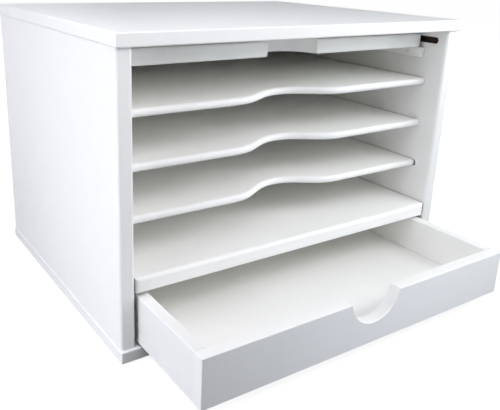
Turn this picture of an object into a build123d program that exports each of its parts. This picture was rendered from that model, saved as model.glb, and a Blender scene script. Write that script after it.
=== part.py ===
from build123d import *
import math
import os

# Desktop paper organizer: a painted cabinet with three scooped shelves, a divider, one drawer and a front door that
# slides back under the top. All lengths in millimetres. The numbers below are given in the cabinet's own frame: X to
# the right, Y to the back, Z up, with X = Y = 0 in the middle of the cabinet's footprint and Z = 0 at the underside of
# the base board. place() moves every piece into the part's frame, whose origin is the bottom centre of the whole part.

# ---- cabinet boards ----
CAB_W = 355.6            # width of top and base boards
CAB_D = 279.0            # depth of top and base boards
CAB_H = 252.0            # underside of base to top surface
TOP_T = 10.2             # top board thickness
BASE_T = 10.2            # base board thickness
BOARD_EASE = 1.2         # eased edges of top and base boards
SIDE_T = 12.3            # side board thickness
SIDE_INSET = 1.2         # side board's outer face inside the top board's edge
SIDE_SETBACK = 3.15      # side board's front edge behind the top board's edge
SIDE_FRONT_R = 2.6       # rounding of the side boards' front edges
BACK_T = 6.0             # back board thickness
RABBET = 6.0             # rabbet for the back board in each side board

# ---- shelves ----
SHELF_T = 6.5            # thin shelf thickness
SHELF_TOPS = {"upper_shelf": 193.8, "middle_shelf": 151.7, "lower_shelf": 109.6}
SHELF_FRONT = -116.3     # straight part of the shelves' front edge
SHELF_NOSE_R = 3.1       # rounded front edge
GROOVE_DEPTH = 5.0       # stopped grooves in the side boards
GROOVE_OVERRUN = {"upper_shelf": 0.2, "middle_shelf": 0.2, "lower_shelf": 1.9}  # groove end ahead of the shelf's nose
SCOOP_DEPTH = 20.8       # middle scoop of each thin shelf
SCOOP_R_MID = 41.5       # radius of the scoop's middle
SCOOP_R_SHOULDER = 44.5  # radius of its shoulders
SCOOP_ANGLE = 31.0       # slope of the scoop's flanks in degrees
SCOOP_X = -1.5           # middle of the scoop

# ---- divider above the drawer ----
DIV_T = 12.4
DIV_TOP = 68.0
DIV_FRONT = -136.2
DIV_NOSE_R = 3.2         # rounded top front edge
DIV_UNDER_R = 1.0        # eased lower front edge
DIV_CORNER_R = 4.5       # rounded front corners, seen from above

# ---- door, stored flat under the top ----
DOOR_HALF_W = 161.3
DOOR_T = 12.7
DOOR_BOTTOM = 223.7
DOOR_FREE_Y = -108.4     # free edge, with the finger notch
DOOR_LEN = 167.2
DOOR_EASE = 1.8
DOOR_NOTCH_R = 27.3
DOOR_NOTCH_CY = -109.6
DOOR_NOTCH_X = -0.8
PIN_D = 5.0
PIN_IN_DOOR = 13.0       # length of pin inside the door's edge
PIN_FROM_REAR = 6.5      # pin axis ahead of the door's rear edge
PIN_Z = 231.1
SLOT_BOTTOM = 228.3      # pin slot in each side board
SLOT_TOP = 234.5
SLOT_FRONT = -126.4
SLOT_DEPTH = 5.5
RAIL_W = 5.7             # rails that carry the stored door
RAIL_TOP = 223.3
RAIL_BOTTOM = 214.1
RAIL_FRONT = -111.0
RAIL_REAR = 120.0

# ---- drawer ----
DRAWER_HALF_W = 161.4
DRAWER_TOP = 52.25
DRAWER_BOTTOM = 11.5
DRAWER_FRONT_Y = -227.8  # front face as the drawer stands, partly pulled out
DRAWER_OPEN = 91.5       # how far out it stands from closed
DRAWER_LEN = 266.6
DRAWER_FRONT_T = 10.8
DRAWER_SIDE_T = 9.9
DRAWER_BACK_T = 9.9
DRAWER_FLOOR = 18.3      # top surface of the drawer bottom
DRAWER_FLOOR_T = 4.0
DRAWER_EASE = 0.8
NOTCH_R = 26.3           # half-round thumb notch in the drawer front
NOTCH_CZ = 56.2
NOTCH_X = 0.0

# ---- small parts ----
FOOT_H = 1.5
FOOT_D = 14.0
FOOT_X = 160.0
FOOT_Y = 122.0
GLIDE_T = 1.15
GLIDE_W = 8.0
BUMPER_D = 10.0
BUMPER_T = 3.0
DOWEL_D = 6.0
HOLE_CLEAR = 0.04        # diametral clearance of dowel and screw holes

# ---- derived ----
SIDE_OUT = CAB_W / 2 - SIDE_INSET
WALL = SIDE_OUT - SIDE_T                 # half width between the side boards
FRONT = -CAB_D / 2 + SIDE_SETBACK        # front edge of side boards, and of the closed drawer
REAR = CAB_D / 2
TOP_Z = CAB_H - TOP_T                    # underside of the top board
BACK_FACE = REAR - BACK_T                # front face of the back board
SIDE_MID = WALL + SIDE_T / 2
PART_Y0 = (DRAWER_FRONT_Y + REAR) / 2    # middle of the whole part in depth
PIN_Y = DOOR_FREE_Y + DOOR_LEN - PIN_FROM_REAR
SLOT_REAR = PIN_Y + (SLOT_TOP - SLOT_BOTTOM) / 2 + 0.1
DRAWER_REAR_Y = DRAWER_FRONT_Y + DRAWER_LEN
DRAWER_IN_X = DRAWER_HALF_W - DRAWER_SIDE_T
DRAWER_IN_Y0 = DRAWER_FRONT_Y + DRAWER_FRONT_T
DRAWER_IN_Y1 = DRAWER_REAR_Y - DRAWER_BACK_T

OUT = "parts"
os.makedirs(OUT, exist_ok=True)


def place(shape):
    return Pos(0, -PART_Y0, FOOT_H) * shape


def block(x0, x1, y0, y1, z0, z1):
    """A box between two corners."""
    return Pos((x0 + x1) / 2, (y0 + y1) / 2, (z0 + z1) / 2) * Box(abs(x1 - x0), abs(y1 - y0), abs(z1 - z0))


def rod(p, axis, length, d):
    """A cylinder that starts at p and runs along axis."""
    plane = Plane(origin=p, z_dir=axis)
    return plane * Cylinder(d / 2, length, align=(Align.CENTER, Align.CENTER, Align.MIN))


def write(name, shape):
    if isinstance(shape, (list, tuple)):
        shape = Compound(children=[place(s) for s in shape])
    else:
        shape = place(shape)
    shape.label = name
    export_step(shape, f"{OUT}/{name}.step")
    print(name, round(shape.volume))


def wood_screw(p, axis, length, shank_d, head_d):
    """Countersunk wood screw: p is the middle of the head's flat face, axis points to the tip."""
    head_h = (head_d - shank_d) / 2
    tip = shank_d * 0.9
    profile = Polyline((0, 0), (head_d / 2, 0), (head_d / 2, 0.35), (shank_d / 2, 0.35 + head_h),
                       (shank_d / 2, length - tip), (0.15, length), (0, length), close=True)
    body = revolve(Plane.XZ * make_face(profile), axis=Axis.Z)
    arm = head_d * 0.55
    slot = Pos(0, 0, 0.6) * (Box(arm, head_d * 0.14, 1.2) + Box(head_d * 0.14, arm, 1.2))
    return Plane(origin=p, z_dir=axis) * (body - slot)


def screw_hole(p, axis, length, shank_d, head_d):
    """The hole that the screw above sits in, with a little room."""
    c = HOLE_CLEAR
    head_h = (head_d - shank_d) / 2
    profile = Polyline((0, -0.5), (head_d / 2 + c, -0.5), (head_d / 2 + c, 0.35 + c), (shank_d / 2 + c, 0.35 + head_h + c),
                       (shank_d / 2 + c, length + 0.6), (0, length + 0.6), close=True)
    body = revolve(Plane.XZ * make_face(profile), axis=Axis.Z)
    return Plane(origin=p, z_dir=axis) * body


# ------------------------------------------------------------------ fastener places
TOP_DOWELS = [(s * SIDE_MID, y, TOP_Z) for s in (-1, 1) for y in (-105.0, 0.0, 105.0)]
BASE_SCREWS = [(s * SIDE_MID, y, 0.0) for s in (-1, 1) for y in (-115.0, 0.0, 115.0)]
DIV_DOWELS = [(s, y, DIV_TOP - DIV_T / 2) for s in (-1, 1) for y in (-112.0, 0.0, 100.0)]
RAIL_SCREWS = [(s, y, (RAIL_TOP + RAIL_BOTTOM) / 2) for s in (-1, 1) for y in (-96.0, 5.0, 106.0)]
BACK_SCREWS_SIDE = [(s * (WALL + 3.1), z) for s in (-1, 1) for z in (30.0, 86.0, 169.0, 205.0)]
BACK_SCREWS_DIV = [(s * 82.0, DIV_TOP - DIV_T / 2) for s in (-1, 1)]
TOP_DOWEL_LEN, TOP_DOWEL_IN = 14.0, 7.0
BASE_SCREW_LEN, BASE_SCREW_D, BASE_SCREW_HEAD = 32.0, 3.5, 7.0
DIV_DOWEL_LEN, DIV_DOWEL_IN = 20.0, 8.0
RAIL_SCREW_LEN, RAIL_SCREW_D, RAIL_SCREW_HEAD = 15.0, 3.0, 5.8
BACK_SCREW_LEN, BACK_SCREW_D, BACK_SCREW_HEAD = 18.0, 2.4, 4.6
DIV_GAP = 0.35           # paint gap between divider ends and walls


def back_screw(x, z, cls):
    return cls((x, REAR - 0.2, z), (0, -1, 0), BACK_SCREW_LEN, BACK_SCREW_D, BACK_SCREW_HEAD)


# ------------------------------------------------------------------ top and base boards
top = block(-CAB_W / 2, CAB_W / 2, -REAR, REAR, TOP_Z, CAB_H)
top = fillet(top.edges(), BOARD_EASE)
for x, y, z in TOP_DOWELS:
    top -= rod((x, y, z - 1), (0, 0, 1), TOP_DOWEL_IN + 1.2, DOWEL_D + HOLE_CLEAR)
write("top_panel", top)

base = block(-CAB_W / 2, CAB_W / 2, -REAR, REAR, 0, BASE_T)
base = fillet(base.edges(), BOARD_EASE)
for x, y, z in BASE_SCREWS:
    base -= screw_hole((x, y, z + 0.2), (0, 0, 1), BASE_SCREW_LEN, BASE_SCREW_D, BASE_SCREW_HEAD)
write("base_panel", base)


# ------------------------------------------------------------------ side boards
def side_board(s):
    b = block(s * WALL, s * SIDE_OUT, FRONT, REAR, BASE_T, TOP_Z)
    long_edges = b.edges().filter_by(Axis.Z).sort_by(Axis.Y)[:2]
    b = fillet(long_edges, SIDE_FRONT_R)
    rear_edge = b.edges().filter_by(Axis.Z).sort_by(Axis.Y)[-2:].sort_by(lambda e: -abs(e.center().X))[0]
    b = fillet(rear_edge, 0.8)
    # rabbet for the back board
    b -= block(s * (WALL - 1), s * (WALL + RABBET + 0.1), BACK_FACE - 0.05, REAR + 1, BASE_T - 1, TOP_Z + 1)
    # stopped grooves for the shelves, round at the front
    for name, z in SHELF_TOPS.items():
        z0, z1 = z - SHELF_T - 0.15, z + 0.15
        r = (z1 - z0) / 2
        y0 = SHELF_FRONT - GROOVE_OVERRUN[name] + r
        b -= block(s * (WALL - 1), s * (WALL + GROOVE_DEPTH), y0, BACK_FACE + 1, z0, z1)
        b -= rod((s * (WALL - 1), y0, (z0 + z1) / 2), (s, 0, 0), GROOVE_DEPTH + 1, 2 * r)
    # slot that guides the door's pin
    r = (SLOT_TOP - SLOT_BOTTOM) / 2
    zc = (SLOT_TOP + SLOT_BOTTOM) / 2
    b -= block(s * (WALL - 1), s * (WALL + SLOT_DEPTH), SLOT_FRONT + r, SLOT_REAR - r, SLOT_BOTTOM, SLOT_TOP)
    b -= rod((s * (WALL - 1), SLOT_FRONT + r, zc), (s, 0, 0), SLOT_DEPTH + 1, 2 * r)
    b -= rod((s * (WALL - 1), SLOT_REAR - r, zc), (s, 0, 0), SLOT_DEPTH + 1, 2 * r)
    # holes
    for x, y, z in TOP_DOWELS:
        if x * s > 0:
            b -= rod((x, y, z + 1), (0, 0, -1), TOP_DOWEL_LEN - TOP_DOWEL_IN + 1.2, DOWEL_D + HOLE_CLEAR)
    for x, y, z in BASE_SCREWS:
        if x * s > 0:
            b -= screw_hole((x, y, z + 0.2), (0, 0, 1), BASE_SCREW_LEN, BASE_SCREW_D, BASE_SCREW_HEAD)
    for t, y, z in DIV_DOWELS:
        if t == s:
            b -= rod((s * (WALL - 1), y, z), (s, 0, 0), DIV_DOWEL_IN + 1.3, DOWEL_D + HOLE_CLEAR)
    for t, y, z in RAIL_SCREWS:
        if t == s:
            b -= screw_hole((s * (WALL - RAIL_W + 0.2), y, z), (s, 0, 0), RAIL_SCREW_LEN, RAIL_SCREW_D, RAIL_SCREW_HEAD)
    for x, z in BACK_SCREWS_SIDE:
        if x * s > 0:
            b -= back_screw(x, z, screw_hole)
    return b


write("left_side_panel", side_board(-1))
write("right_side_panel", side_board(1))

# ------------------------------------------------------------------ back board
back = block(-(WALL + RABBET), WALL + RABBET, BACK_FACE, REAR, BASE_T + 0.05, TOP_Z - 0.05)
for x, z in BACK_SCREWS_SIDE + BACK_SCREWS_DIV:
    back -= back_screw(x, z, screw_hole)
write("back_panel", back)


# ------------------------------------------------------------------ thin shelves
def scoop_face(x_half, y_rear):
    """Top view of a shelf: straight front edge with a smooth scoop in the middle."""
    a = math.radians(SCOOP_ANGLE)
    r, rm = SCOOP_R_SHOULDER, SCOOP_R_MID
    dx, dy = r * math.sin(a), r * (1 - math.cos(a))
    mx, my = rm * math.sin(a), rm * (1 - math.cos(a))
    run_x = (SCOOP_DEPTH - dy - my) / math.tan(a)
    half = dx + mx + run_x
    y0, y1 = SHELF_FRONT, SHELF_FRONT + SCOOP_DEPTH
    c = SCOOP_X

    def shoulder(s):
        return [(c + s * half, y0), (c + s * (half - r * math.sin(a / 2)), y0 + r * (1 - math.cos(a / 2))),
                (c + s * (half - dx), y0 + dy)]

    l0, l1, l2 = shoulder(-1)
    r0, r1, r2 = shoulder(1)
    m0, m1, m2 = (c - mx, y1 - my), (c, y1), (c + mx, y1 - my)
    with BuildSketch() as sk:
        with BuildLine():
            Line((-x_half, y0), l0)
            ThreePointArc(l0, l1, l2)
            Line(l2, m0)
            ThreePointArc(m0, m1, m2)
            Line(m2, r2)
            ThreePointArc(r2, r1, r0)
            Line(r0, (x_half, y0))
            Line((x_half, y0), (x_half, y_rear))
            Line((x_half, y_rear), (-x_half, y_rear))
            Line((-x_half, y_rear), (-x_half, y0))
        make_face()
    return sk.sketch


def thin_shelf(z_top):
    x_half = WALL + GROOVE_DEPTH - 0.2
    y_rear = BACK_FACE - 0.2
    b = extrude(Pos(0, 0, z_top - SHELF_T) * scoop_face(x_half, y_rear), SHELF_T)
    nose = [e for e in b.edges() if e.center().Y < SHELF_FRONT + SCOOP_DEPTH + 2
            and abs(e.bounding_box().size.Z) < 1e-4 and e.bounding_box().size.X > 1]
    b = fillet(nose, SHELF_NOSE_R)
    return b


for name, z in SHELF_TOPS.items():
    write(name, thin_shelf(z))

# ------------------------------------------------------------------ divider above the drawer
div = block(-(WALL - DIV_GAP), WALL - DIV_GAP, DIV_FRONT, BACK_FACE - 0.1, DIV_TOP - DIV_T, DIV_TOP)
div_front = div.edges().filter_by(Axis.X).sort_by(Axis.Y)[:2]
div = fillet(div_front.sort_by(Axis.Z)[-1], DIV_NOSE_R)
div = fillet(div.edges().filter_by(Axis.X).sort_by(Axis.Y)[0:4].sort_by(Axis.Z)[0], DIV_UNDER_R)
for s in (-1, 1):
    cx, cy = s * (WALL - DIV_GAP - DIV_CORNER_R), DIV_FRONT + DIV_CORNER_R
    corner = block(cx, s * (WALL + 1), DIV_FRONT - 1, cy, DIV_TOP - DIV_T - 1, DIV_TOP + 1)
    corner -= rod((cx, cy, DIV_TOP - DIV_T - 2), (0, 0, 1), DIV_T + 4, 2 * DIV_CORNER_R)
    div -= corner
for s, y, z in DIV_DOWELS:
    div -= rod((s * (WALL + 1), y, z), (-s, 0, 0), DIV_DOWEL_LEN - DIV_DOWEL_IN + 1.3, DOWEL_D + HOLE_CLEAR)
for x, z in BACK_SCREWS_DIV:
    div -= back_screw(x, z, screw_hole)
write("divider_shelf", div)


# ------------------------------------------------------------------ rails for the stored door
def rail(s):
    b = block(s * (WALL - RAIL_W), s * WALL, RAIL_FRONT, RAIL_REAR, RAIL_BOTTOM, RAIL_TOP)
    inner = [e for e in b.edges() if abs(abs(e.center().X) - (WALL - RAIL_W)) < 0.01 or e.center().Y < RAIL_FRONT + 0.01]
    b = fillet(inner, 0.5)
    for t, y, z in RAIL_SCREWS:
        if t == s:
            b -= screw_hole((s * (WALL - RAIL_W + 0.2), y, z), (s, 0, 0), RAIL_SCREW_LEN, RAIL_SCREW_D, RAIL_SCREW_HEAD)
    return b


write("left_door_rail", rail(-1))
write("right_door_rail", rail(1))

# ------------------------------------------------------------------ door
door = block(-DOOR_HALF_W, DOOR_HALF_W, DOOR_FREE_Y, DOOR_FREE_Y + DOOR_LEN, DOOR_BOTTOM, DOOR_BOTTOM + DOOR_T)
door -= rod((DOOR_NOTCH_X, DOOR_NOTCH_CY, DOOR_BOTTOM - 1), (0, 0, 1), DOOR_T + 2, 2 * DOOR_NOTCH_R)
corner = door.edges().filter_by(Axis.Z).sort_by(Axis.Y)
outer_corners = [e for e in corner if abs(e.center().X) > DOOR_HALF_W - 0.1]
door = fillet(outer_corners, 2.0)
door = fillet([e for e in door.edges() if e.bounding_box().size.Z < 1e-4], DOOR_EASE)
for s in (-1, 1):
    door -= rod((s * (DOOR_HALF_W + 1), PIN_Y, PIN_Z), (-s, 0, 0), PIN_IN_DOOR + 1.1, PIN_D + HOLE_CLEAR)
write("door_panel", door)


def pin(s):
    b = rod((s * (DOOR_HALF_W - PIN_IN_DOOR), PIN_Y, PIN_Z), (s, 0, 0), PIN_IN_DOOR + (WALL - DOOR_HALF_W) + SLOT_DEPTH - 0.7, PIN_D)
    return chamfer(b.edges(), 0.4)


write("left_door_pin", pin(-1))
write("right_door_pin", pin(1))

# ------------------------------------------------------------------ drawer
DR_DOWELS = [(s * (DRAWER_IN_X + DRAWER_SIDE_T / 2), z) for s in (-1, 1) for z in (27.0, 42.0)]
DR_DOWEL_LEN, DR_DOWEL_IN = 22.0, 7.5
DR_SCREWS = [(s, DRAWER_IN_Y1 + DRAWER_BACK_T / 2, z) for s in (-1, 1) for z in (28.0, 42.0)]
DR_SCREW_LEN, DR_SCREW_D, DR_SCREW_HEAD = 30.0, 3.0, 6.0
GROOVE = 4.0             # groove depth for the drawer bottom
floor_z0 = DRAWER_FLOOR - DRAWER_FLOOR_T


def floor_cut(grow):
    return block(-(DRAWER_IN_X + GROOVE + grow), DRAWER_IN_X + GROOVE + grow,
                 DRAWER_IN_Y0 - GROOVE - grow, DRAWER_IN_Y1 + GROOVE + grow,
                 floor_z0 - grow / 4, DRAWER_FLOOR + grow / 4)


front = block(-DRAWER_HALF_W, DRAWER_HALF_W, DRAWER_FRONT_Y, DRAWER_IN_Y0, DRAWER_BOTTOM, DRAWER_TOP)
front -= rod((NOTCH_X, DRAWER_FRONT_Y - 1, NOTCH_CZ), (0, 1, 0), DRAWER_FRONT_T + 2, 2 * NOTCH_R)
# all edges but those that meet the sides' end grain
ease = [e for e in front.edges()
        if not (abs(e.center().Y - DRAWER_IN_Y0) < 0.01
                and (abs(e.center().X) > DRAWER_HALF_W - 0.1 or e.center().Z < DRAWER_BOTTOM + 0.1))]
front = fillet(ease, DRAWER_EASE)
for x, z in DR_DOWELS:
    front -= rod((x, DRAWER_IN_Y0 + 1, z), (0, -1, 0), DR_DOWEL_IN + 1.2, DOWEL_D + HOLE_CLEAR)
front -= floor_cut(0.1)
write("drawer_front", front)


def drawer_side(s):
    b = block(s * DRAWER_IN_X, s * DRAWER_HALF_W, DRAWER_IN_Y0 + 0.02, DRAWER_REAR_Y, DRAWER_BOTTOM, DRAWER_TOP)
    b = fillet(b.edges().filter_by(Axis.Y), DRAWER_EASE)
    for x, z in DR_DOWELS:
        if x * s > 0:
            b -= rod((x, DRAWER_IN_Y0 - 1, z), (0, 1, 0), DR_DOWEL_LEN - DR_DOWEL_IN + 1.2, DOWEL_D + HOLE_CLEAR)
    for t, y, z in DR_SCREWS:
        if t == s:
            b -= screw_hole((s * (DRAWER_HALF_W - 0.2), y, z), (-s, 0, 0), DR_SCREW_LEN, DR_SCREW_D, DR_SCREW_HEAD)
    b -= floor_cut(0.1)
    return b


write("drawer_left_side", drawer_side(-1))
write("drawer_right_side", drawer_side(1))

rear = block(-(DRAWER_IN_X - 0.02), DRAWER_IN_X - 0.02, DRAWER_IN_Y1, DRAWER_REAR_Y, DRAWER_BOTTOM, DRAWER_TOP)
rear = fillet(rear.edges().filter_by(Axis.X), DRAWER_EASE)
for s, y, z in DR_SCREWS:
    rear -= screw_hole((s * (DRAWER_HALF_W - 0.2), y, z), (-s, 0, 0), DR_SCREW_LEN, DR_SCREW_D, DR_SCREW_HEAD)
rear -= floor_cut(0.1)
write("drawer_back", rear)
write("drawer_bottom", floor_cut(-0.1))

# ------------------------------------------------------------------ fasteners
write("top_dowels", [chamfer(rod((x, y, z - (TOP_DOWEL_LEN - TOP_DOWEL_IN)), (0, 0, 1), TOP_DOWEL_LEN, DOWEL_D).edges(), 0.6)
                     for x, y, z in TOP_DOWELS])
write("base_screws", [wood_screw((x, y, z + 0.2), (0, 0, 1), BASE_SCREW_LEN, BASE_SCREW_D, BASE_SCREW_HEAD)
                      for x, y, z in BASE_SCREWS])
write("divider_dowels", [chamfer(rod((s * (WALL + DIV_DOWEL_IN), y, z), (-s, 0, 0), DIV_DOWEL_LEN, DOWEL_D).edges(), 0.6)
                         for s, y, z in DIV_DOWELS])
write("rail_screws", [wood_screw((s * (WALL - RAIL_W + 0.2), y, z), (s, 0, 0), RAIL_SCREW_LEN, RAIL_SCREW_D, RAIL_SCREW_HEAD)
                      for s, y, z in RAIL_SCREWS])
write("back_panel_screws", [back_screw(x, z, wood_screw) for x, z in BACK_SCREWS_SIDE + BACK_SCREWS_DIV])
write("drawer_front_dowels", [chamfer(rod((x, DRAWER_IN_Y0 - DR_DOWEL_IN, z), (0, 1, 0), DR_DOWEL_LEN, DOWEL_D).edges(), 0.6)
                              for x, z in DR_DOWELS])
write("drawer_back_screws", [wood_screw((s * (DRAWER_HALF_W - 0.2), y, z), (-s, 0, 0), DR_SCREW_LEN, DR_SCREW_D, DR_SCREW_HEAD)
                             for s, y, z in DR_SCREWS])


# ------------------------------------------------------------------ feet, glide strips, bumpers
def glide(s):
    xc = s * (DRAWER_IN_X + DRAWER_SIDE_T / 2)
    return block(xc - GLIDE_W / 2, xc + GLIDE_W / 2, FRONT + 5, BACK_FACE - 8, BASE_T, BASE_T + GLIDE_T)


write("left_glide_strip", glide(-1))
write("right_glide_strip", glide(1))


def foot(x, y):
    b = rod((x, y, -FOOT_H), (0, 0, 1), FOOT_H, FOOT_D)
    return fillet(b.edges().sort_by(Axis.Z)[0], 0.4)


write("rubber_feet", [foot(sx * FOOT_X, sy * FOOT_Y) for sx in (-1, 1) for sy in (-1, 1)])


def bumper(x):
    b = rod((x, BACK_FACE, 32.0), (0, -1, 0), BUMPER_T, BUMPER_D)
    return fillet(b.edges().sort_by(Axis.Y)[0], 0.8)


write("drawer_bumpers", [bumper(-100.0), bumper(100.0)])

print("door slide travel", round(PIN_Y - (SLOT_FRONT + (SLOT_TOP - SLOT_BOTTOM) / 2), 2))
print("origin shift", PART_Y0, FOOT_H)
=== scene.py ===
import math

import bpy
from mathutils import Matrix, Vector


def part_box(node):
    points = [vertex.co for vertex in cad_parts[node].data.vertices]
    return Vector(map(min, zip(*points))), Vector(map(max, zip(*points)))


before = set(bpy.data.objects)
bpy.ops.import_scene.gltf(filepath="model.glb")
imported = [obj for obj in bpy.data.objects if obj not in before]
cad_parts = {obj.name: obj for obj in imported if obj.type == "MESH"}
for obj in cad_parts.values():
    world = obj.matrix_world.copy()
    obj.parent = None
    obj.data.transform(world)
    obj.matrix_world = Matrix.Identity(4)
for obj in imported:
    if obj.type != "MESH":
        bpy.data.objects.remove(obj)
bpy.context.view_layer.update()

# A white painted desktop paper organizer. Every board, pin and screw comes from the frame; this script gives each one
# its finish, sets a pale floor and soft studio lights, and places the camera.

# ------------------------------------------------------------------ places taken from the frame, in metres
WALL = -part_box("left_door_rail")[0].x          # half width between the side boards
ROW_Y = (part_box("top_panel")[0].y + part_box("top_panel")[1].y) / 2
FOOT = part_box("base_panel")[0].z               # height of the base board's underside


# ------------------------------------------------------------------ node helpers
class Nodes:
    """A material's node tree with short calls for the nodes used below."""

    def __init__(self, name):
        self.mat = bpy.data.materials.new(name)
        self.mat.use_nodes = True
        self.tree = self.mat.node_tree
        self.tree.nodes.clear()
        self.out = self.tree.nodes.new("ShaderNodeOutputMaterial")
        self.bsdf = self.tree.nodes.new("ShaderNodeBsdfPrincipled")
        self.link(self.bsdf.outputs["BSDF"], self.out.inputs["Surface"])

    def link(self, a, b):
        self.tree.links.new(a, b)

    def new(self, kind, **props):
        n = self.tree.nodes.new(kind)
        for k, v in props.items():
            setattr(n, k, v)
        return n

    def put(self, socket, value):
        if isinstance(value, bpy.types.NodeSocket):
            self.link(value, socket)
        else:
            socket.default_value = value

    def coords(self, offset):
        """Object coordinates in metres, moved by offset so that no two boards share a pattern."""
        tc = self.new("ShaderNodeTexCoord")
        mp = self.new("ShaderNodeMapping")
        mp.inputs["Location"].default_value = offset
        self.link(tc.outputs["Object"], mp.inputs["Vector"])
        return tc.outputs["Object"], mp.outputs["Vector"]

    def scaled(self, vector, scale):
        mp = self.new("ShaderNodeMapping")
        mp.inputs["Scale"].default_value = scale
        self.link(vector, mp.inputs["Vector"])
        return mp.outputs["Vector"]

    def noise(self, vector, scale, detail=2.0, rough=0.5, distortion=0.0):
        n = self.new("ShaderNodeTexNoise")
        self.link(vector, n.inputs["Vector"])
        n.inputs["Scale"].default_value = scale
        n.inputs["Detail"].default_value = detail
        n.inputs["Roughness"].default_value = rough
        n.inputs["Distortion"].default_value = distortion
        return n.outputs["Fac"]

    def math(self, op, a, b=0.0, c=0.0, clamp=False):
        n = self.new("ShaderNodeMath", operation=op, use_clamp=clamp)
        for s, v in zip(n.inputs, (a, b, c)):
            self.put(s, v)
        return n.outputs[0]

    def span(self, value, a0, a1, b0, b1):
        """Value mapped from a0..a1 to b0..b1, clamped."""
        n = self.new("ShaderNodeMapRange", clamp=True)
        for s, v in zip(n.inputs, (value, a0, a1, b0, b1)):
            self.put(s, v)
        return n.outputs[0]

    def mix(self, fac, a, b):
        n = self.new("ShaderNodeMix", data_type="RGBA", blend_type="MIX")
        self.put(n.inputs[0], fac)
        self.put(n.inputs[6], a)
        self.put(n.inputs[7], b)
        return n.outputs[2]

    def xyz(self, vector):
        n = self.new("ShaderNodeSeparateXYZ")
        self.link(vector, n.inputs[0])
        return n.outputs[0], n.outputs[1], n.outputs[2]

    def within(self, value, lo, hi, soft):
        """1 where lo < value < hi, with soft borders."""
        return self.math("MULTIPLY", self.span(value, lo - soft, lo + soft, 0.0, 1.0),
                         self.span(value, hi - soft, hi + soft, 1.0, 0.0))

    def edge(self, radius):
        """0 on flat faces, rising towards 1 on convex and concave edges."""
        bv = self.new("ShaderNodeBevel", samples=6)
        bv.inputs["Radius"].default_value = radius
        geo = self.new("ShaderNodeNewGeometry")
        dot = self.new("ShaderNodeVectorMath", operation="DOT_PRODUCT")
        self.link(bv.outputs[0], dot.inputs[0])
        self.link(geo.outputs["Normal"], dot.inputs[1])
        return self.math("SUBTRACT", 1.0, dot.outputs["Value"], clamp=True)

    def crevice(self, distance):
        """1 deep in a joint or an inner corner, 0 in the open."""
        ao = self.new("ShaderNodeAmbientOcclusion", samples=4)
        ao.inputs["Distance"].default_value = distance
        return self.math("SUBTRACT", 1.0, ao.outputs["AO"], clamp=True)

    def bump(self, parts):
        """A chain of bumps: (height, distance in metres, strength)."""
        normal = None
        for height, distance, strength in parts:
            b = self.new("ShaderNodeBump")
            b.inputs["Strength"].default_value = strength
            b.inputs["Distance"].default_value = distance
            self.link(height, b.inputs["Height"])
            if normal is not None:
                self.link(normal, b.inputs["Normal"])
            normal = b.outputs["Normal"]
        self.link(normal, self.bsdf.inputs["Normal"])


PAINT = (0.938, 0.932, 0.905)
RAW = (0.052, 0.030, 0.016)      # bare fibreboard inside the slots and grooves


def rgba(c, k=1.0):
    return (c[0] * k, c[1] * k, c[2] * k, 1.0)


def paint(name, seed, tint=1.0, raw=None, joints=0.75, gap_shade=False):
    """Rolled satin paint on fibreboard: faint clouds, roller stipple, dust nibs, a little wear along the edges,
    painted shade and dust in the joints, painted shade in narrow gaps.
    """
    t = Nodes(name)
    offset = (seed * 0.731, seed * 1.113, seed * 0.417)
    obj, vec = t.coords(offset)
    clouds = t.noise(vec, 9.0, 3.0, 0.55)
    drift = t.noise(vec, 2.3, 1.0, 0.5)
    mottle = t.noise(vec, 55.0, 3.0, 0.6)
    stipple = t.noise(vec, 760.0, 2.0, 0.55)
    peel = t.noise(vec, 210.0, 2.0, 0.5)
    nibs = t.span(t.noise(vec, 420.0, 0.0, 0.5), 0.79, 0.86, 0.0, 1.0)
    # edges: the paint is thinner and a little rubbed there
    rim = t.span(t.edge(0.0011), 0.015, 0.20, 0.0, 1.0)
    rubbed = t.math("MULTIPLY", rim, t.span(t.noise(vec, 95.0, 4.0, 0.65), 0.42, 0.72, 0.15, 1.0))
    base = t.mix(t.span(clouds, 0.30, 0.70, 0.0, 1.0), rgba(PAINT, 0.982 * tint), rgba(PAINT, 1.006 * tint))
    base = t.mix(t.span(drift, 0.35, 0.65, 0.0, 0.5), base, rgba((0.940, 0.931, 0.898), tint))
    base = t.mix(t.span(mottle, 0.45, 0.75, 0.0, 0.35), base, rgba(PAINT, 0.962 * tint))
    base = t.mix(t.math("MULTIPLY", rubbed, 0.30), base, rgba((0.84, 0.825, 0.79), tint))
    base = t.mix(t.math("MULTIPLY", nibs, 0.22), base, rgba((0.76, 0.74, 0.71), tint))
    # painted shade and dust: a fine dark line in the joints between boards, where shade falls and dust gathers
    if joints > 0.0:
        joint = t.span(t.crevice(0.0028), 0.34, 0.85, 0.0, joints)
        base = t.mix(joint, base, rgba((0.30, 0.29, 0.28)))
    # painted shade: narrow gaps beside a moving board are darkened almost to black where shade falls
    if gap_shade:
        base = t.mix(t.span(t.crevice(0.006), 0.58, 0.86, 0.0, 0.92), base, rgba((0.10, 0.095, 0.09)))
    rough = t.span(mottle, 0.3, 0.7, 0.36, 0.44)
    rough = t.math("ADD", rough, t.math("MULTIPLY", rubbed, 0.10))
    if raw is not None:
        bare = raw(t, obj)
        fibre = t.noise(vec, 620.0, 3.0, 0.7)
        brown = t.mix(t.span(fibre, 0.3, 0.7, 0.0, 1.0), rgba(RAW, 0.8), rgba(RAW, 1.5))
        base = t.mix(bare, base, brown)
        rough = t.math("ADD", rough, t.math("MULTIPLY", bare, 0.4), clamp=True)
    t.link(base, t.bsdf.inputs["Base Color"])
    t.link(rough, t.bsdf.inputs["Roughness"])
    t.bsdf.inputs["IOR"].default_value = 1.47
    t.bump([(peel, 0.00006, 0.35), (stipple, 0.00003, 0.45), (nibs, 0.00008, 0.5), (rubbed, 0.00008, 0.35)])
    return t.mat


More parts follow.
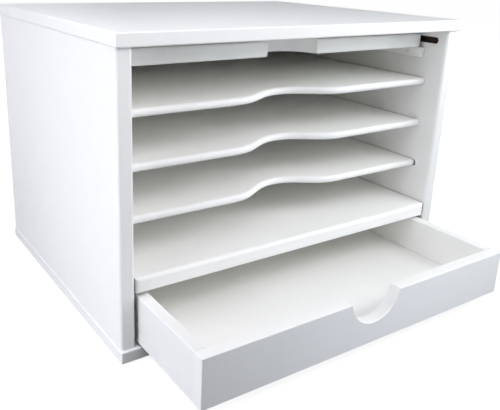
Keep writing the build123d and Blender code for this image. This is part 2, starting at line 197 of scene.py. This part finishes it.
def side_raw(t, obj):
    """Bare fibreboard inside the pin slot and the shelf grooves of a side board."""
    x, y, z = t.xyz(obj)
    deep = t.within(t.math("ABSOLUTE", x), WALL + 0.00035, WALL + 0.0060, 0.00015)
    slot = t.within(z, FOOT + 0.2281, FOOT + 0.2347, 0.00005)
    for top in (0.1938, 0.1517, 0.1096):
        slot = t.math("ADD", slot, t.within(z, FOOT + top - 0.0068, FOOT + top + 0.0003, 0.00005), clamp=True)
    ahead = t.within(y, ROW_Y - 0.1275, ROW_Y + 0.1334, 0.0001)
    return t.math("MULTIPLY", t.math("MULTIPLY", deep, slot), ahead)


def steel(name, seed):
    """Zinc-plated steel: fine turning lines, cloudy plating."""
    t = Nodes(name)
    obj, vec = t.coords((seed * 0.31, seed * 0.77, seed * 0.53))
    cloud = t.noise(vec, 160.0, 3.0, 0.6)
    lines = t.noise(t.scaled(vec, (1.0, 6.0, 6.0)), 900.0, 2.0, 0.6)
    base = t.mix(t.span(cloud, 0.3, 0.7, 0.0, 1.0), (0.62, 0.61, 0.57, 1.0), (0.74, 0.74, 0.72, 1.0))
    t.link(base, t.bsdf.inputs["Base Color"])
    t.link(t.span(cloud, 0.3, 0.7, 0.26, 0.42), t.bsdf.inputs["Roughness"])
    t.bsdf.inputs["Metallic"].default_value = 1.0
    t.bump([(lines, 0.00002, 0.5)])
    return t.mat


def beech(name, seed):
    """Plain beech dowel: fine flecks along the grain."""
    t = Nodes(name)
    obj, vec = t.coords((seed * 0.61, seed * 0.27, seed * 0.93))
    grain = t.noise(t.scaled(vec, (1.0, 1.0, 0.12)), 700.0, 3.0, 0.6)
    fleck = t.span(t.noise(t.scaled(vec, (1.0, 1.0, 0.3)), 1500.0, 1.0, 0.5), 0.55, 0.7, 0.0, 1.0)
    base = t.mix(t.span(grain, 0.3, 0.7, 0.0, 1.0), (0.52, 0.34, 0.19, 1.0), (0.68, 0.49, 0.30, 1.0))
    base = t.mix(t.math("MULTIPLY", fleck, 0.35), base, (0.34, 0.20, 0.10, 1.0))
    t.link(base, t.bsdf.inputs["Base Color"])
    t.link(t.span(grain, 0.3, 0.7, 0.55, 0.70), t.bsdf.inputs["Roughness"])
    t.bump([(grain, 0.00006, 0.5)])
    return t.mat


def plastic(name, seed):
    """Smooth off-white glide strip, scuffed along its length."""
    t = Nodes(name)
    obj, vec = t.coords((seed * 0.41, seed * 0.19, seed * 0.83))
    scuff = t.noise(t.scaled(vec, (1.0, 0.05, 1.0)), 900.0, 3.0, 0.6)
    cloud = t.noise(vec, 40.0, 2.0, 0.5)
    base = t.mix(t.span(cloud, 0.3, 0.7, 0.0, 1.0), (0.70, 0.69, 0.66, 1.0), (0.77, 0.76, 0.73, 1.0))
    base = t.mix(t.span(scuff, 0.5, 0.8, 0.0, 0.4), base, (0.58, 0.57, 0.54, 1.0))
    t.link(base, t.bsdf.inputs["Base Color"])
    t.link(t.span(scuff, 0.3, 0.7, 0.30, 0.46), t.bsdf.inputs["Roughness"])
    t.bump([(scuff, 0.00003, 0.4)])
    return t.mat


def rubber(name, seed):
    """Grey rubber with a fine moulded texture and a little dust."""
    t = Nodes(name)
    obj, vec = t.coords((seed * 0.23, seed * 0.57, seed * 0.71))
    grain = t.noise(vec, 1300.0, 2.0, 0.6)
    dust = t.noise(vec, 120.0, 3.0, 0.6)
    base = t.mix(t.span(grain, 0.3, 0.7, 0.0, 1.0), (0.060, 0.060, 0.062, 1.0), (0.085, 0.085, 0.087, 1.0))
    base = t.mix(t.span(dust, 0.5, 0.8, 0.0, 0.4), base, (0.18, 0.175, 0.165, 1.0))
    t.link(base, t.bsdf.inputs["Base Color"])
    t.link(t.span(dust, 0.3, 0.7, 0.62, 0.80), t.bsdf.inputs["Roughness"])
    t.bump([(grain, 0.00004, 0.6)])
    return t.mat


# ------------------------------------------------------------------ finishes of the nodes
finish = {
    "top_panel": paint("paint_top", 1),
    "base_panel": paint("paint_base", 2, gap_shade=True),
    "left_side_panel": paint("paint_left_side", 3, 1.0, side_raw, gap_shade=True),
    # tint 0.93 is painted shade: the right side board is darkened where the lamps light its front too brightly
    "right_side_panel": paint("paint_right_side", 4, 0.93, side_raw, gap_shade=True),
    "back_panel": paint("paint_back", 5, 0.99),
    "upper_shelf": paint("paint_upper_shelf", 6),
    "middle_shelf": paint("paint_middle_shelf", 7),
    "lower_shelf": paint("paint_lower_shelf", 8),
    "divider_shelf": paint("paint_divider", 9, gap_shade=True),
    "left_door_rail": paint("paint_left_rail", 10, joints=0.0),
    "right_door_rail": paint("paint_right_rail", 11, joints=0.0),
    "door_panel": paint("paint_door", 12),
    "drawer_front": paint("paint_drawer_front", 13, joints=0.0),
    # tint 0.96 is painted shade: the drawer's left side is darkened to tone down the light falling on it
    "drawer_left_side": paint("paint_drawer_left", 14, 0.96, joints=0.0),
    "drawer_right_side": paint("paint_drawer_right", 15, joints=0.0),
    "drawer_back": paint("paint_drawer_back", 16, 0.99, joints=0.0),
    "drawer_bottom": paint("paint_drawer_bottom", 17, 0.99),
    "left_door_pin": steel("steel_left_pin", 1),
    "right_door_pin": steel("steel_right_pin", 2),
    "base_screws": steel("steel_base_screws", 3),
    "rail_screws": paint("paint_rail_screws", 18, joints=0.0),      # painted over with the rails
    "back_panel_screws": steel("steel_back_screws", 5),
    "drawer_back_screws": steel("steel_drawer_screws", 6),
    "top_dowels": beech("beech_top_dowels", 1),
    "divider_dowels": beech("beech_divider_dowels", 2),
    "drawer_front_dowels": beech("beech_drawer_dowels", 3),
    "left_glide_strip": plastic("plastic_left_glide", 1),
    "right_glide_strip": plastic("plastic_right_glide", 2),
    "rubber_feet": rubber("rubber_feet_grey", 1),
    "drawer_bumpers": rubber("rubber_bumpers_grey", 2),
}
for node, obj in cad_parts.items():
    obj.data.materials.clear()
    obj.data.materials.append(finish[node])


# ------------------------------------------------------------------ floor
def floor_material():
    t = Nodes("pale_floor")
    obj, vec = t.coords((0.3, 0.7, 0.1))
    cloud = t.noise(vec, 3.0, 3.0, 0.5)
    fine = t.noise(vec, 240.0, 2.0, 0.5)
    t.link(t.mix(t.span(cloud, 0.3, 0.7, 0.0, 1.0), (0.30, 0.30, 0.305, 1.0), (0.31, 0.31, 0.315, 1.0)),
           t.bsdf.inputs["Base Color"])
    t.bsdf.inputs["Roughness"].default_value = 0.9
    t.bsdf.inputs["Specular IOR Level"].default_value = 0.1
    t.bsdf.inputs["Emission Color"].default_value = (1.0, 1.0, 1.0, 1.0)
    # painted light: the floor glows, from 0.88 near the object to 0.99 further out, so it stays white where the lamps
    # fall off
    far = t.new("ShaderNodeVectorMath", operation="LENGTH")
    t.link(obj, far.inputs[0])
    t.link(t.span(far.outputs["Value"], 0.45, 1.3, 0.88, 0.99), t.bsdf.inputs["Emission Strength"])
    t.bump([(fine, 0.00005, 0.3)])
    return t.mat


bpy.ops.mesh.primitive_plane_add(size=30.0, location=(0.0, 0.0, 0.0))
floor = bpy.context.object
floor.name = "floor"
floor.data.materials.append(floor_material())
floor.visible_diffuse = False


def backdrop_material():
    t = Nodes("pale_backdrop")
    obj, vec = t.coords((0.2, 0.4, 0.6))
    cloud = t.noise(vec, 0.05, 1.0, 0.5)
    t.link(t.mix(cloud, (0.99, 0.99, 0.99, 1.0), (1.0, 1.0, 1.0, 1.0)), t.bsdf.inputs["Emission Color"])
    t.bsdf.inputs["Emission Strength"].default_value = 1.02
    t.bsdf.inputs["Base Color"].default_value = (0.0, 0.0, 0.0, 1.0)
    t.bsdf.inputs["Specular IOR Level"].default_value = 0.0
    return t.mat


bpy.ops.mesh.primitive_uv_sphere_add(segments=48, ring_count=24, radius=12.0, location=(0.0, 0.0, 0.0))
backdrop = bpy.context.object
backdrop.name = "backdrop"
backdrop.data.materials.append(backdrop_material())
backdrop.visible_diffuse = False
backdrop.visible_glossy = False
backdrop.visible_shadow = False

# ------------------------------------------------------------------ light
scene = bpy.context.scene
scene.view_settings.view_transform = "Standard"
scene.view_settings.look = "None"
world = bpy.data.worlds.new("studio")
scene.world = world
world.use_nodes = True
world.node_tree.nodes["Background"].inputs[0].default_value = (0.62, 0.64, 1.0, 1.0)
world.node_tree.nodes["Background"].inputs[1].default_value = 0.01
scene.cycles.diffuse_bounces = 8     # a white interior is lit by light that has bounced many times
CENTRE = Vector((0.0, 0.0, 0.12))


def softbox(name, place, size, watts):
    """A square area light at place that looks at the object; watts holds its red, green and blue strength."""
    d = (Vector(place) - CENTRE).normalized()
    light = bpy.data.lights.new(name, "AREA")
    light.shape = "SQUARE"
    light.size = size
    light.energy = max(watts)
    light.color = [w / max(watts) for w in watts]
    o = bpy.data.objects.new(name, light)
    scene.collection.objects.link(o)
    o.location = place
    o.rotation_mode = "QUATERNION"
    o.rotation_quaternion = (-d).to_track_quat("-Z", "Y")
    o.visible_camera = False
    return o


def around(azimuth, elevation, distance):
    """A place round the object. Azimuth 0 is in front, 90 at its right."""
    a, e = math.radians(azimuth), math.radians(elevation)
    return CENTRE + distance * Vector((math.sin(a) * math.cos(e), -math.cos(a) * math.cos(e), math.sin(e)))


softbox("back_fill", around(-180, 38, 2), 1.2, (11.10, 11.48, 12.01))
softbox("back_right_fill", around(135, 38, 2), 1.2, (5.96, 6.40, 6.74))
softbox("left_back", around(-120, 15, 0.8), 0.5, (0.87, 0.84, 0.92))
softbox("left_key", around(-90, 15, 0.8), 0.5, (1.36, 1.39, 1.54))
softbox("overhead_left", (-0.6, -0.1, 0.75), 0.35, (1.66, 1.68, 1.84))
softbox("overhead_front_left", (-0.2, -0.6, 0.75), 0.35, (0.67, 0.68, 0.79))
softbox("overhead_front", (0.2, -0.6, 0.75), 0.35, (0.45, 0.44, 0.56))
softbox("overhead_right", (1, -0.6, 0.75), 0.35, (1.29, 1.30, 1.40))
softbox("right_strip", (0.95, -0.45, 0.3), 0.3, (2.28, 2.32, 2.41))
softbox("near_right_high", (0.3, -0.35, 0.35), 0.2, (0.67, 0.73, 0.74))
softbox("near_front_high", (0.15, -0.5, 0.42), 0.2, (0.24, 0.23, 0.19))
softbox("near_left_low", (-0.5, -0.15, 0.08), 0.2, (0.55, 0.58, 0.63))
softbox("near_front_low", (0.05, -0.45, 0.06), 0.2, (0.26, 0.29, 0.34))
softbox("low_top_left", (-0.15, -0.25, 0.45), 0.3, (0.43, 0.42, 0.43))
softbox("right_middle", (0.6, -0.28, 0.3), 0.3, (0.25, 0.24, 0.28))

# ------------------------------------------------------------------ camera at the photograph's viewing angle
cam_data = bpy.data.cameras.new("camera")
cam = bpy.data.objects.new("camera", cam_data)
scene.collection.objects.link(cam)
AZ, EL, ROLL = 0.5815713551843605, -0.3084556735575615, 0.02854595382737236
f = Vector((math.sin(AZ) * math.cos(EL), math.cos(AZ) * math.cos(EL), math.sin(EL)))
right = Vector((math.cos(AZ), -math.sin(AZ), 0.0))
up = right.cross(f)
r = right * math.cos(ROLL) + up * math.sin(ROLL)
u = -right * math.sin(ROLL) + up * math.cos(ROLL)
cam.matrix_world = Matrix(((r.x, u.x, -f.x, -0.351564), (r.y, u.y, -f.y, -0.477294), (r.z, u.z, -f.z, 0.298419),
                           (0.0, 0.0, 0.0, 1.0)))
cam_data.sensor_width = 36.0
cam_data.lens = 630.6 / 500.0 * 36.0
cam_data.shift_x = (250.0 - 211.611) / 500.0
cam_data.shift_y = -(205.0 - 163.627) / 500.0
cam_data.clip_start = 0.02
cam_data.clip_end = 100.0
scene.camera = cam
